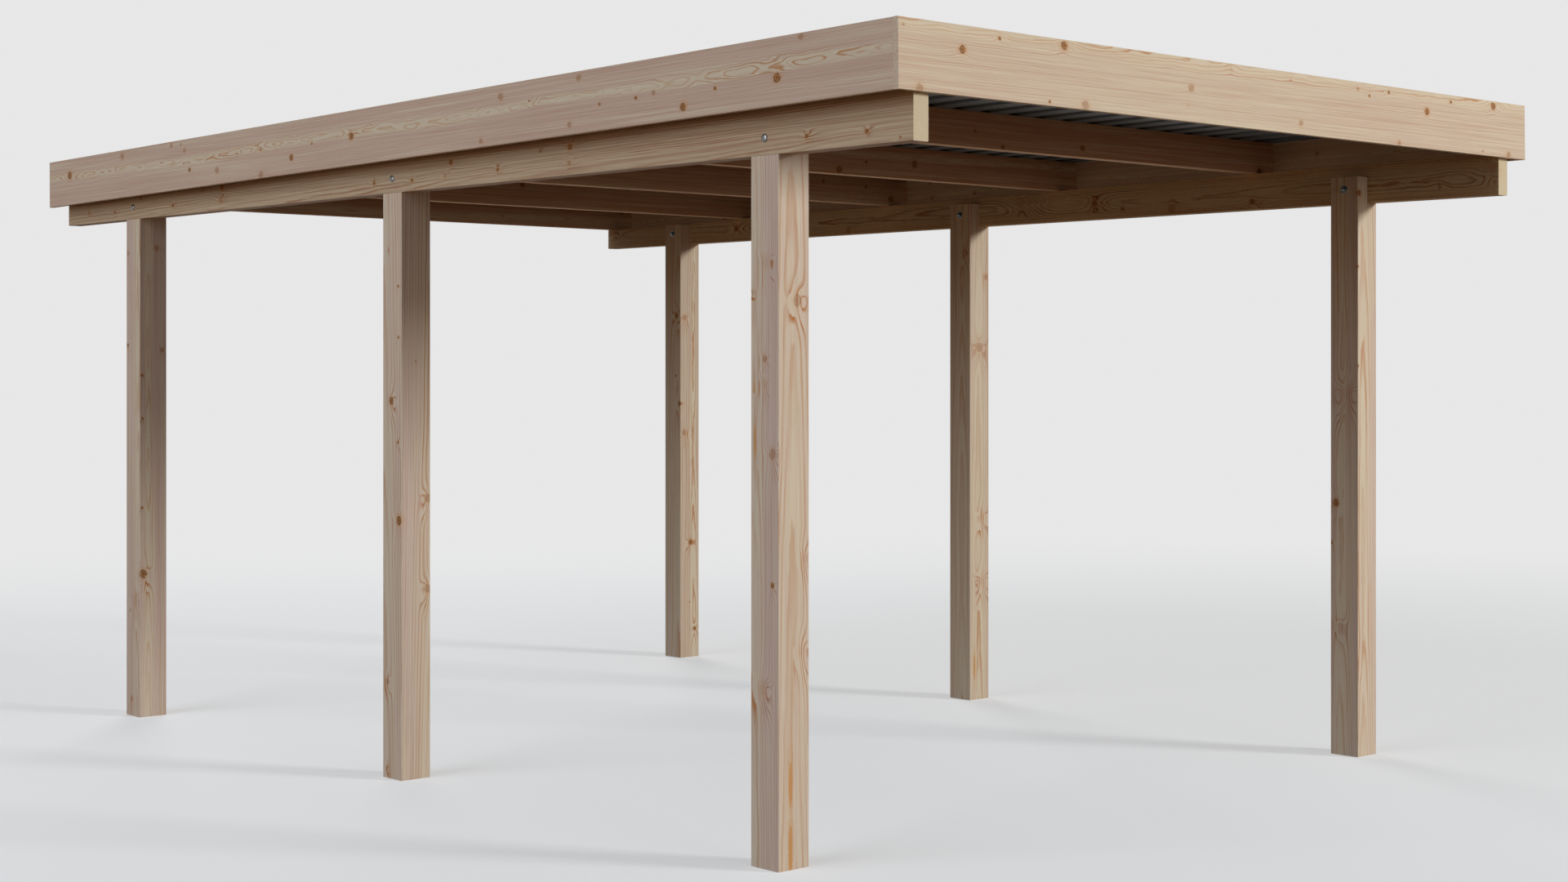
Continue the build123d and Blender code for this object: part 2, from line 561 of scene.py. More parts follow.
class LappedPost(Timber):
    """A post whose outer half is cut away at the head, on the side that profile axis a points to."""

    def build(self) -> Piece:
        """Build the shaft, the ledge and the tongue as one closed surface.

        The full outline is carried up to the ledge, and the part of it inside the notch line goes on to
        the top. Flat faces close the foot, the ledge and the top, and a strip closes the tongue's back.

        Returns:
            The piece.
        """
        ledge, notch = self.lap()
        outline = eased_outline(self.width, self.height, (notch,))
        flat = outline.points
        shell = Shell()
        self.carry(shell, outline, stations(0, ledge))
        on_notch = np.flatnonzero(np.isclose(flat[:, 0], notch))
        low, high = on_notch[np.argmin(flat[on_notch, 1])], on_notch[np.argmax(flat[on_notch, 1])]
        inner = np.r_[high:len(flat), 0:low + 1]
        head = stations(ledge, self.length)
        self.carry(shell, outline.part(inner), head, closed=False)
        back = Outline(flat[[low, high]], np.tile([1.0, 0.0], (2, 1)), np.zeros(2))
        self.carry(shell, back, head, closed=False)
        for end, along, sign in ((flat[::-1], 0.0, -1.0), (flat[low:high + 1], ledge, 1.0),
                                 (flat[inner], self.length, 1.0)):
            local = np.concatenate([np.full((len(end), 1), along), end], 1)
            shell.add_flat(local, np.array([sign, 0.0, 0.0]), SAWN)
        return self.dress(shell)

    def lap(self) -> tuple[float, float]:
        """Read the lap from the beam that sits in it.

        Returns:
            Height of the ledge, and place of the notch line on profile axis a.
        """
        beam_low, beam_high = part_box(self.node.split("_")[0] + "_beam")
        inner_face = beam_low.x if self.origin[0] > 0 else beam_high.x
        return beam_low.z - self.origin[2], round(abs(inner_face) - abs(self.origin[0]), 6)


@dataclass(frozen=True)
class Wave:
    """Noise in a log.

    Attributes:
        across: Waves in a metre across the grain.
        along: Waves in a metre along the grain.
        detail: How many finer waves it carries.
        reach: Its whole range, where it lies about 0.
        roughness: Strength of the finer waves.
    """

    across: float
    along: float
    detail: float = 2.0
    reach: float = 1.0
    roughness: float = 0.5


class Signal:
    """A value in a shader tree. Arithmetic on it adds math nodes to the tree."""

    def __init__(self, wiring: "Wiring", socket: Socket) -> None:
        """Keep the tree's wiring and the socket that gives the value."""
        self.wiring = wiring
        self.socket = socket

    def to(self, operation: str, *others: object) -> "Signal":
        """Result of a math node that this value enters first."""
        return self.wiring.math(operation, self, *others)

    def __add__(self, other: object) -> "Signal":
        """It and another value together."""
        return self.to("ADD", other)

    def __sub__(self, other: object) -> "Signal":
        """It less another value."""
        return self.to("SUBTRACT", other)

    def __rsub__(self, other: float) -> "Signal":
        """A number less it."""
        return self.wiring.math("SUBTRACT", other, self)

    def __mul__(self, other: object) -> "Signal":
        """It times another value."""
        return self.to("MULTIPLY", other)

    def __truediv__(self, other: object) -> "Signal":
        """It divided by another value."""
        return self.to("DIVIDE", other)

    def __abs__(self) -> "Signal":
        """Its size without the sign."""
        return self.to("ABSOLUTE")

    def ramp(self, low: float, high: float) -> "Signal":
        """Straight line that is low where it is 0 and high where it is 1."""
        return self * (high - low) + low

    def smooth(self, start: float, end: float) -> "Signal":
        """Smooth step from 0 at the start to 1 at the end, which may lie below the start."""
        inputs = {"Value": self, "From Min": start, "From Max": end}
        return self.wiring.add("MapRange", inputs, interpolation_type="SMOOTHSTEP")["Result"]

    def share(self, start: float, end: float, most: float) -> "Signal":
        """Smooth step from 0 at the start to the most at the end."""
        return self.smooth(start, end) * most

    def bell(self, centre: float, width: float) -> "Signal":
        """Bell curve exp(-((value - centre) / width) ** 2)."""
        part = (self - centre) / width
        return (part * part * -1.0).to("EXPONENT")


Signals = dict[str, Signal]


class Wiring:
    """Short hand for wiring one shader tree."""

    def __init__(self, tree: Tree) -> None:
        """Keep the tree that the nodes go to."""
        self.tree = tree

    def feed(self, node: Node, inputs: dict[object, object]) -> None:
        """Link signals to the inputs of a node, or set the inputs' own values.

        Args:
            node: The node.
            inputs: Signals, numbers, vectors or colours, by the input's name or number.
        """
        for key, value in inputs.items():
            socket = node.inputs[key]
            if isinstance(value, Signal):
                self.tree.links.new(value.socket, socket)
            elif socket.type == "RGBA":
                socket.default_value = (*value, 1.0)
            else:
                socket.default_value = value

    def node(self, kind: str, inputs: dict[object, object], **settings: object) -> Node:
        """Add a node.

        Args:
            kind: Node type without the ShaderNode prefix.
            inputs: What its inputs get, by name or number.
            **settings: Properties of the node.

        Returns:
            The node.
        """
        made = self.tree.nodes.new(kind if kind.startswith("Node") else f"ShaderNode{kind}")
        for name, value in settings.items():
            setattr(made, name, value)
        self.feed(made, inputs)
        return made

    def add(self, kind: str, inputs: dict[object, object] | None = None, **settings: object) -> Signals:
        """Add a node and give its outputs by name."""
        made = self.node(kind, inputs or {}, **settings)
        return {socket.name: Signal(self, socket) for socket in made.outputs}

    def group(self, tree: Tree, inputs: dict[object, object]) -> Signals:
        """Place a node group and give its outputs by name."""
        return self.add("Group", inputs, node_tree=tree)

    def math(self, operation: str, *values: object) -> Signal:
        """Result of a math node."""
        return self.add("Math", dict(enumerate(values)), operation=operation)["Value"]

    def vector(self, operation: str, *values: object) -> Signals:
        """Vector and value of a vector math node."""
        return self.add("VectorMath", dict(enumerate(values)), operation=operation)

    def split(self, vector: Signal) -> tuple[Signal, ...]:
        """Three parts of a vector."""
        return tuple(self.add("SeparateXYZ", {"Vector": vector}).values())

    def join(self, x: object, y: object, z: object) -> Signal:
        """Vector of three parts."""
        return self.add("CombineXYZ", {"X": x, "Y": y, "Z": z})["Vector"]

    def span(self, x: Signal, y: Signal) -> Signal:
        """Length of a way that goes x and, square to it, y."""
        return self.vector("LENGTH", self.join(x, y, 0.0))["Value"]

    def attribute(self, name: str) -> Signals:
        """Values of an attribute of the piece."""
        return self.add("Attribute", attribute_name=name)

    def wave(self, place: Signal, wave: Wave) -> Signals:
        """Noise at a place, as a value and as a colour."""
        scaled = self.vector("MULTIPLY", place, (wave.across, wave.across, wave.along))["Vector"]
        return self.add("TexNoise", {"Vector": scaled, "Scale": 1.0, "Detail": wave.detail,
                                     "Roughness": wave.roughness})

    def stray(self, place: Signal, wave: Wave) -> Signal:
        """Noise about 0 with the reach of its wave."""
        return (self.wave(place, wave)["Fac"] - 0.5) * wave.reach

    def mix(self, share: object, first: object, second: object) -> Signal:
        """Blend of two colours: the Mix node has its factor at 0 and its colours at 6 and 7, out at 2."""
        made = self.node("Mix", {0: share, 6: first, 7: second}, data_type="RGBA")
        return Signal(self, made.outputs[2])

    def lay(self, colour: Signal, *layers: tuple[object, object]) -> Signal:
        """Lay colours over a colour.

        Args:
            colour: The ground.
            *layers: Share and colour of each layer, from the lowest up.

        Returns:
            The colour of them all.
        """
        for share, tint in layers:
            colour = self.mix(share, colour, tint)
        return colour


def new_group(name: str, inputs: dict[str, str], wire: Callable[[Wiring, Signals], Signals]) -> Tree:
    """Build a shader node group.

    Args:
        name: Name of the group.
        inputs: Socket kinds by name.
        wire: Function that wires the group from its inputs and returns its outputs by name.

    Returns:
        The group.
    """
    tree = bpy.data.node_groups.new(name, "ShaderNodeTree")
    for label, kind in inputs.items():
        tree.interface.new_socket(name=label, in_out="INPUT", socket_type=f"NodeSocket{kind}")
    w = Wiring(tree)
    outputs = wire(w, w.add("NodeGroupInput"))
    for label in outputs:
        tree.interface.new_socket(name=label, in_out="OUTPUT", socket_type="NodeSocketFloat")
    w.node("NodeGroupOutput", outputs)
    return tree


def new_material(name: str) -> tuple[Material, Wiring, Node]:
    """Start a material.

    Args:
        name: Name of the material.

    Returns:
        The material, its wiring and its shader.
    """
    made = bpy.data.materials.new(name)
    made.use_nodes = True
    return made, Wiring(made.node_tree), made.node_tree.nodes["Principled BSDF"]


class WoodGroups:
    """Node groups that all timber finishes share, and the waves that they are made of."""

    SWAY = Wave(0.0, 0.9)  # slow wandering of the pith
    WOBBLE = Wave(20.0, 3.2, 2.0, 0.022)  # long waves of the rings
    TREMOR = Wave(160.0, 16.0, 3.0, 0.008)  # short waves of the rings
    RIPPLE = Wave(21.0, 7.0, 1.0, 0.07)  # waves of the flat figure
    CROWDING = Wave(0.0, 0.45, 1.0, 2.2)  # wider and narrower rings
    FADE = Wave(34.0, 1.6)  # where late wood is faint
    KNOT_EDGE = Wave(90.0, 90.0, 3.0, 0.9)  # ragged outline of a knot
    KNOT_BREAK = Wave(55.0, 55.0)  # gaps in a knot's rim
    FIBRES = {
        "Fine": Wave(420.0, 9.0, 4.0, roughness=0.6),
        "Stripe": Wave(150.0, 1.4, 2.0, roughness=0.6),
        "Streak": Wave(60.0, 0.9, 3.0, roughness=0.6),
        "Tint": Wave(11.0, 0.8, 2.0, roughness=0.6),
    }
    SWAY_REACH = 0.07  # how far the pith wanders
    SWAY_DECAY = -12.0  # how fast that is lost away from it
    CORE_DECAY = -28.0  # how fast the wood near the pith gives way to the rest
    CALMING = 40.0  # how fast the rings' waves calm down away from the pith
    LOG_TAPER = 0.012
    PITH_RADIUS = 0.0005  # least distance from the pith that a direction is told at
    LATE_RISE, LATE_FALL = (0.45, 0.88), (1.0, 0.93)  # where in a ring late wood comes and goes
    FADE_STEP, FADE_SHARE = (0.34, 0.60), (0.4, 1.0)  # from faint to full late wood
    BAND_STEP = (0.60, 0.94)  # from straight grain to the flat figure
    KNOT_LENGTH = 1.15  # length of a knot over its width
    KNOT_STEP, HALO_STEP, BREAK_STEP = (1.0, 0.82), (2.3, 0.8), (0.30, 0.50)  # edges of core, halo and gaps
    RIM_BELL, PIP_BELL, PIP_SHARE = (0.92, 0.16), (0.0, 0.34), 0.7  # dark rim, and dark spot in the middle
    BULGE_LENGTH, BULGE_BELL, BULGE_SHARE = 2.6, (0.0, 1.9), 0.8  # rings pushed aside
    ROOT_LENGTH, FAN_WIDTH, FAN_BELL, FAN_PULL = 3.2, 0.9, (0.0, 1.8), 1.8  # grain drawn together
    HEART_RINGS, HEART_SHARE = 11.0, (0.3, 0.6)  # rings in a knot's core

    def __init__(self) -> None:
        """Build the groups once."""
        self.rings = new_group(
            "growth_rings",
            {"Log": "Vector", "Face": "Vector", "Bulge": "Float", "Pull": "Float", "Ring Width": "Float",
             "Waver": "Float"},
            self.wire_rings,
        )
        self.knots = new_group("knot_marks", {"Knot": "Vector", "Log": "Vector"}, self.wire_knots)
        self.fibre = new_group("wood_fibre", {"Log": "Vector"}, self.wire_fibre)

    def wire_rings(self, w: Wiring, given: Signals) -> Signals:
        """Growth rings round a wandering pith.

        The ring number is (distance from the pith + taper + waves + bulge round knots) / ring width, and
        knots pull the place in the log along the face. Late wood rises in each ring and ends sharply, and
        the band is where the face runs along the rings.

        Args:
            w: Wiring of the group.
            given: Its inputs.

        Returns:
            Its outputs.
        """
        place = given["Log"]
        u, v, s = w.split(place)
        face_u, face_v, _ = w.split(given["Face"])
        u = u + abs(face_v) * given["Pull"]
        v = v + abs(face_u) * given["Pull"]
        sway = (w.span(u, v) * self.SWAY_DECAY).to("EXPONENT") * self.SWAY_REACH
        wander = w.vector("SUBTRACT", w.wave(place, self.SWAY)["Color"], GREY)["Vector"]
        wander_u, wander_v, _ = w.split(wander)
        off_u = u - wander_u * sway
        off_v = v - wander_v * sway
        radius = w.span(off_u, off_v)
        core = (radius * self.CORE_DECAY).to("EXPONENT")
        waves = (w.stray(place, self.WOBBLE) + w.stray(place, self.TREMOR)) / (radius * self.CALMING + 1.0)
        ripple = w.stray(place, self.RIPPLE) * core * given["Waver"]
        number = (radius + s * self.LOG_TAPER + waves + ripple + given["Bulge"]) / given["Ring Width"]
        number = number + w.stray(w.join(0.0, 0.0, number), self.CROWDING)
        phase = number.to("FRACT")
        late = phase.smooth(*self.LATE_RISE) * phase.smooth(*self.LATE_FALL)
        fade = w.wave(place, self.FADE)["Fac"].smooth(*self.FADE_STEP)
        flat = abs((off_u * face_u + off_v * face_v) / radius.to("MAXIMUM", self.PITH_RADIUS))
        chance = w.add("TexWhiteNoise", {"W": number.to("FLOOR")}, noise_dimensions="1D")
        return {"Late": late * fade.ramp(*self.FADE_SHARE), "Strength": chance["Value"],
                "Band": flat.smooth(*self.BAND_STEP), "Core": core}

    def wire_knots(self, w: Wiring, given: Signals) -> Signals:
        """Marks of the nearest knot.

        With e the distance from the branch over its radius, the core is e < 0.9, the rim a broken bell at
        e = 0.92, the halo fades to e = 2.3, and the bulge pushes the rings aside along the grain. The fan
        is a bell round the branch that is long on the side of the root, where the pull draws the lines
        together.

        Args:
            w: Wiring of the group.
            given: Its inputs.

        Returns:
            Its outputs.
        """
        along, across, size = w.split(given["Knot"])
        e = w.span(along / self.KNOT_LENGTH, across) / size + w.stray(given["Log"], self.KNOT_EDGE)
        broken = w.wave(given["Log"], self.KNOT_BREAK)["Fac"].smooth(*self.BREAK_STEP)
        core = e.smooth(*self.KNOT_STEP)
        wide = w.span(along / self.BULGE_LENGTH, across) / size
        rootward = along.to("MINIMUM", 0.0) / self.ROOT_LENGTH + along.to("MAXIMUM", 0.0)
        fan = (w.span(rootward, across * self.FAN_WIDTH) / size).bell(*self.FAN_BELL)
        return {
            "Core": core,
            "Rim": e.bell(*self.RIM_BELL) * broken + e.bell(*self.PIP_BELL) * self.PIP_SHARE,
            "Halo": e.smooth(*self.HALO_STEP) * (1.0 - core),
            "Bulge": wide.bell(*self.BULGE_BELL) * (size * self.BULGE_SHARE),
            "Heart": (e * self.HEART_RINGS).to("SINE").ramp(*self.HEART_SHARE),
            "Fan": fan,
            "Pull": across * self.FAN_PULL * fan,
        }

    def wire_fibre(self, w: Wiring, given: Signals) -> Signals:
        """Fine fibres, narrow stripes, broad streaks and slow tints, all long in the grain."""
        return {name: w.wave(given["Log"], wave)["Fac"] for name, wave in self.FIBRES.items()}


@dataclass(frozen=True)
class PlanedTimber:
    """Finish of planed, untreated larch.

    Attributes:
        heart: Pinkish wood.
        tan: Yellower wood.
        pale: Pale wood where the face runs along the rings.
        late: Late wood in straight grain.
        flame: Late wood in the flat figure.
        knot: Core of a knot.
        rim: Bark and resin round a knot.
        resin: Stain round a knot.
        ring_width: Mean width of a growth ring.
        end_light: How much paler the sawn ends are.
        fanning: How far knots draw the grain together.
        waver: How wavy the flat figure near the pith is.
        shine: Specular level of the shader.
    """

    heart: Colour = srgb(199, 173, 155)
    tan: Colour = srgb(206, 187, 165)
    pale: Colour = srgb(216, 205, 178)
    late: Colour = srgb(172, 132, 108)
    flame: Colour = srgb(178, 114, 60)
    knot: Colour = srgb(150, 94, 44)
    rim: Colour = srgb(58, 30, 16)
    resin: Colour = srgb(198, 140, 76)
    ring_width: float = 0.0050
    end_light: float = 0.0
    fanning: float = 0.3
    waver: float = 0.0
    shine: float = 0.10

    BRANCH_LIMIT = -0.1  # a mark that is less dark than this is resin, which leaves the grain alone
    EDGE_SHARE = 0.3  # how much paler the eased edges are
    FIBRE_RELIEF, LATE_RELIEF = 0.6, 0.5  # heights of the fibres and of late wood
    BUMP_STRENGTH, BUMP_DISTANCE = 0.4, 0.0005
    ROUGHNESS, LATE_GLOSS = (0.52, 0.77), 0.08  # by the fibres, and how much smoother late wood is
    TONE_SHIFT, STREAK_PART, TINT_PART = (-0.25, 0.25), 0.4, 0.6  # what makes wood yellow
    YELLOW_STEP = (0.36, 0.64)  # from pinkish to yellow wood
    PLAIN_DEPTH, FIGURE_DEPTH = (0.2, 0.75), (0.35, 0.95)  # late wood in straight grain and flat figure
    CORE_DEPTH, CORE_PALE = (0.8, 1.1), (0.35, 0.85)  # late wood and pale band, by nearness to the pith
    PALE_STREAK, PALE_STRIPE, DARK_STRIPE = (0.52, 0.72, 0.4), (0.50, 0.68, 0.45), (0.50, 0.32, 0.32)
    FIBRE_LINES = (0.45, 0.75, 0.26)
    STREAK_HALO = 0.4  # share of a halo in a streak of resin
    HALO_DEPTH, KNOT_DEPTH, RIM_DEPTH = (0.1, 0.5), (0.15, 0.90), 0.9  # by how dark a knot is

    def material(self, name: str, groups: WoodGroups, sawn: bool) -> Material:
        """Build the material.

        Args:
            name: Name of the material.
            groups: Shared wood groups.
            sawn: True for the end grain of the sawn ends.

        Returns:
            The material.
        """
        made, w, shader = new_material(name + ("_end_grain" if sawn else ""))
        place = w.attribute("log")["Vector"]
        face = w.attribute("face")["Vector"]
        knot = w.attribute("knot")
        dark = knot["Alpha"]
        marks = w.group(groups.knots, {"Knot": knot["Vector"], "Log": place})
        fanning = dark.to("GREATER_THAN", self.BRANCH_LIMIT) * self.fanning
        rings = w.group(groups.rings, {
            "Log": place, "Face": face, "Bulge": marks["Bulge"], "Pull": marks["Pull"] * fanning,
            "Ring Width": self.ring_width, "Waver": self.waver,
        })
        fibre = w.group(groups.fibre, {"Log": place})
        colour = self.ground(w, fibre, rings, marks["Fan"] * fanning)
        if sawn and self.end_light:
            colour = w.mix(self.end_light, colour, self.pale)
        colour = self.knotty(w, colour, marks, dark)
        edge = w.split(face)[2]
        height = fibre["Fine"] * self.FIBRE_RELIEF + rings["Late"] * self.LATE_RELIEF
        bump = w.add("Bump", {"Height": height, "Strength": self.BUMP_STRENGTH,
                              "Distance": self.BUMP_DISTANCE})
        w.feed(shader, {
            "Base Color": w.mix(edge * self.EDGE_SHARE, colour, self.pale),
            "Roughness": fibre["Fine"].ramp(*self.ROUGHNESS) - rings["Late"] * self.LATE_GLOSS,
            "Specular IOR Level": self.shine,
            "Normal": bump["Normal"],
        })
        return made

    def ground(self, w: Wiring, fibre: Signals, rings: Signals, fan: Signal) -> Signal:
        """Colour of the clear wood: tinted ground, pale band, late wood lines and fine fibres.

        Args:
            w: Wiring of the material.
            fibre: Values of the fibre group.
            rings: Values of the ring group.
            fan: Nearness of a knot, where late wood is dark with resin.

        Returns:
            The colour.
        """
        streak, stripe = fibre["Streak"], fibre["Stripe"]
        band, core, strength = rings["Band"], rings["Core"], rings["Strength"]
        tone = w.attribute("tone")["Fac"].ramp(*self.TONE_SHIFT)
        yellow = streak * self.STREAK_PART + fibre["Tint"] * self.TINT_PART + tone
        plain = strength.ramp(*self.PLAIN_DEPTH)
        figured = strength.ramp(*self.FIGURE_DEPTH) * core.ramp(*self.CORE_DEPTH)
        depth = (plain * (1.0 - band) + figured * band + fan).to("MINIMUM", 1.0)
        return w.lay(
            w.mix(yellow.smooth(*self.YELLOW_STEP), self.heart, self.tan),
            (streak.share(*self.PALE_STREAK), self.pale),
            (stripe.share(*self.PALE_STRIPE), self.pale),
            (stripe.share(*self.DARK_STRIPE), self.late),
            (band * core.ramp(*self.CORE_PALE), self.pale),
            (rings["Late"] * depth, w.mix(band.to("MAXIMUM", fan), self.late, self.flame)),
            (fibre["Fine"].share(*self.FIBRE_LINES), self.late),
        )

    def knotty(self, w: Wiring, colour: Signal, marks: Signals, dark: Signal) -> Signal:
        """Colour with the knots laid over it.

        Args:
            w: Wiring of the material.
            colour: Colour of the clear wood.
            marks: Values of the knot group.
            dark: How dark the knot is, below 0 for a streak of resin.

        Returns:
            The colour.
        """
        core, halo = marks["Core"], marks["Halo"]
        streak = (dark * -1.0).to("MAXIMUM", 0.0)
        return w.lay(
            colour,
            ((core + halo * self.STREAK_HALO) * streak, self.resin),
            (halo * dark.ramp(*self.HALO_DEPTH), self.resin),
            (core * dark.ramp(*self.KNOT_DEPTH), w.mix(marks["Heart"], self.knot, self.resin)),
            ((marks["Rim"] * (dark * self.RIM_DEPTH)).to("MINIMUM", 1.0), self.rim),
        )


@dataclass(frozen=True)
class Metal:
    """Finish of a plain metal part, coated or bare.

    Attributes:
        name: Name of the material.
        colour: Its colour.
        metallic: 1 for bare metal.
        roughness: Mean roughness.
        blotch: How much its roughness and tone vary.
        grain: Size of one blotch.
        shine: Specular level of the shader.
        detail: How many finer blotches each has.
    """

    name: str
    colour: Colour
    metallic: float
    roughness: float
    blotch: float
    grain: float
    shine: float = 0.5
    detail: float = 3.0

    def material(self) -> Material:
        """Build the material.

        Returns:
            The material.
        """
        made, w, shader = new_material(self.name)
        wave = Wave(1 / self.grain, 1 / self.grain, self.detail, self.blotch)
        spots = w.stray(w.add("TexCoord")["Object"], wave)
        w.feed(shader, {
            "Base Color": w.mix(abs(spots), self.colour, GREY),
            "Roughness": spots + self.roughness,
            "Metallic": self.metallic,
            "Specular IOR Level": self.shine,
        })
        return made


class Assembly:
    """A sub-assembly, whose pieces ride on the frame's body.

    Its slot is the material slot of the record, or empty for a finish that the record doesn't list.
    """

    slot: str
    finish: object

    def make(self) -> list[Piece]:
        """Build the meshes of the pieces."""
        raise NotImplementedError

    def materials(self) -> list[Material]:
        """Materials in the order of a mesh's own slots."""
        return [self.finish.material()]

    def dress(self, pieces: list[Piece]) -> None:
        """Put the pieces on the body and give them their materials.

        Args:
            pieces: The pieces.
        """
        materials = self.materials()
        for piece in pieces:
            for material in materials:
                piece.data.materials.append(material)
            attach(piece, BODY)

    def build(self) -> list[Piece]:
        """Build and dress the pieces.

        Returns:
            The pieces.
        """
        pieces = self.make()
        self.dress(pieces)
        return pieces


@dataclass
class TimberSet(Assembly):
    """Timbers of one kind: where they lie, how they were cut and their finish.

    Attributes:
        groups: Shared wood groups.
        slot: Material slot of the record.
        figures: Figure of each timber, by CAD node.
        first: Number of the first timber.
        finish: How its wood looks.
    """

    groups: WoodGroups
    slot: str
    figures: dict[str, Figure]
    first: int
    finish: PlanedTimber = PlanedTimber()

    def axes(self, node: str) -> Array:
        """Directions along, across and out of a timber."""
        raise NotImplementedError

    def timber(self, node: str, number: int) -> Timber:
        """One timber, measured and ready to build."""
        return Timber(node, self.axes(node), self.figures[node], number)

    def make(self) -> list[Piece]:
        """Build the timbers."""
        return [self.timber(node, number).build() for number, node in enumerate(self.figures, self.first)]

    def materials(self) -> list[Material]:
        """Planed faces and sawn ends."""
        return [self.finish.material(self.slot, self.groups, sawn) for sawn in (False, True)]


@dataclass
class Posts(TimberSet):
    """Six posts: along is up, a points away from the carport's middle line."""

    slot: str = "post_timber"
    first: int = 1
    finish: PlanedTimber = PlanedTimber(heart=srgb(205, 184, 171), ring_width=0.0075, fanning=1.2)
    figures: dict[str, Figure] = field(default_factory=lambda: {
        "left_front_post": Figure((6, -52), (
            knots(A_MAX, WHORL, (1760, 4, 14), (1405, 0, 9), (520, -10, 14))
            + knots(A_MAX, PALE, (1670, -50, 4), (1480, 0, 8), (1205, 34, 12))
            + knots(A_MAX, DARK, (1495, 2, 4), (825, 34, 6))
            + knots(A_MAX, STREAK, (1375, -46, 4), (1240, -42, 5))
            + knots(B_MAX, STREAK, (250, 13, 7), (55, 13, 8))
            + knots(B_MAX, WHORL, (900, -44, 12), (630, -32, 14))
            + knots(B_MAX, PALE, (1650, -14, 14), (955, -36, 3), (390, 16, 4))), 0.35),
        "left_middle_post": Figure((-95, -60), (
            knots(A_MAX, DARK, (1740, 38, 4), (1560, 40, 4), (1335, -6, 11), (1190, 38, 5), (915, 44, 13))
            + knots(A_MAX, PALE, (1870, -26, 3), (340, -30, 9), (30, -34, 6))
            + knots(B_MAX, PALE, (1475, 2, 3), (990, -50, 12), (670, -50, 12))), 0.4),
        "left_rear_post": Figure((22, 38), (
            knots(A_MAX, PALE, (1930, -46, 7), (70, -12, 9)) + knots(A_MAX, WHORL, (480, 18, 18))
            + knots(A_MAX, DARK, (1545, -46, 6))
            + knots(B_MAX, DARK, (1420, 50, 4), (1240, 48, 4), (870, 50, 4), (595, 44, 14))
            + knots(B_MAX, PALE, (1950, -16, 10), (1525, -40, 8))), 0.4),
        "right_front_post": Figure((-26, 14), (
            knots(A_MIN, WHORL, (1355, -8, 18), (485, 50, 18))
            + knots(A_MIN, DARK, (945, 36, 11), (795, 58, 6))
            + knots(B_MIN, DARK, (2105, -52, 9), (1830, -58, 4), (1460, -56, 4)))),
        "right_middle_post": Figure((-4, -14), (
            knots(A_MIN, PALE, (1955, -36, 11))
            + knots(B_MIN, WHORL, (795, 14, 14), (515, 14, 18))
            + knots(B_MIN, STREAK, (145, -32, 6))
            + knots(B_MIN, PALE, (1850, 40, 10), (1540, -2, 16), (285, -32, 4))), 0.8),
        "right_rear_post": Figure((24, -40), (
            knots(A_MIN, DARK, (1710, -30, 11), (1270, -54, 9), (1410, -26, 4))
            + knots(B_MIN, PALE, (1700, -34, 10), (1125, -36, 10))
            + knots(B_MIN, DARK, (575, 4, 10), (140, 32, 8), (275, 0, 3))), 0.8),
    })

    def axes(self, node: str) -> Array:
        """Up, outwards, and the third direction."""
        out = -1.0 if node.startswith("left") else 1.0
        return np.array([[0, 0, 1.0], [out, 0, 0], [0, out, 0]])

    def timber(self, node: str, number: int) -> Timber:
        """One post with its lap."""
        return LappedPost(node, self.axes(node), self.figures[node], number)


@dataclass
class Beams(TimberSet):
    """Two tapered beams: along runs to the rear, a points to the left."""

    slot: str = "beam_timber"
    first: int = 7
    finish: PlanedTimber = PlanedTimber(
        heart=srgb(182, 152, 124), tan=srgb(204, 174, 134), pale=srgb(204, 190, 160), late=srgb(126, 78, 44),
        flame=srgb(144, 78, 32), end_light=0.85, fanning=0.9)
    figures: dict[str, Figure] = field(default_factory=lambda: {
        "left_beam": Figure((-80, -90), (
            knots(A_MAX, DARK, (4970, -32, 5), (4725, -40, 6), (4210, -36, 6), (3805, 12, 9), (2700, -34, 6),
                  (2455, -38, 6), (2215, 8, 8), (1940, -34, 6), (1700, 10, 4), (1540, 14, 9), (425, -34, 6),
                  (180, -38, 6), (50, -64, 3))
            + knots(A_MAX, PALE, (4490, 10, 8), (3970, 10, 4), (3815, -36, 8), (2250, -36, 6),
                    (1545, -38, 8), (175, -50, 3))), 0.2),
        "right_beam": Figure((-24, -10), (
            knots(A_MAX, WHORL, (2280, 8, 22), (15, 8, 20))
            + knots(A_MAX, DARK, (1870, -12, 12), (1720, -40, 6), (4145, -16, 11), (1070, -44, 9))
            + knots(A_MAX, PALE, (1465, -50, 15), (3350, -54, 11), (240, -26, 6), (5095, -20, 9))), 0.95),
    })

    def axes(self, node: str) -> Array:
        """To the rear, to the left, and up."""
        return np.array([[0, 1.0, 0], [-1.0, 0, 0], [0, 0, 1.0]])

    def timber(self, node: str, number: int) -> Timber:
        """One beam with its taper."""
        return Timber(node, self.axes(node), self.figures[node], number, beam_taper()[0])


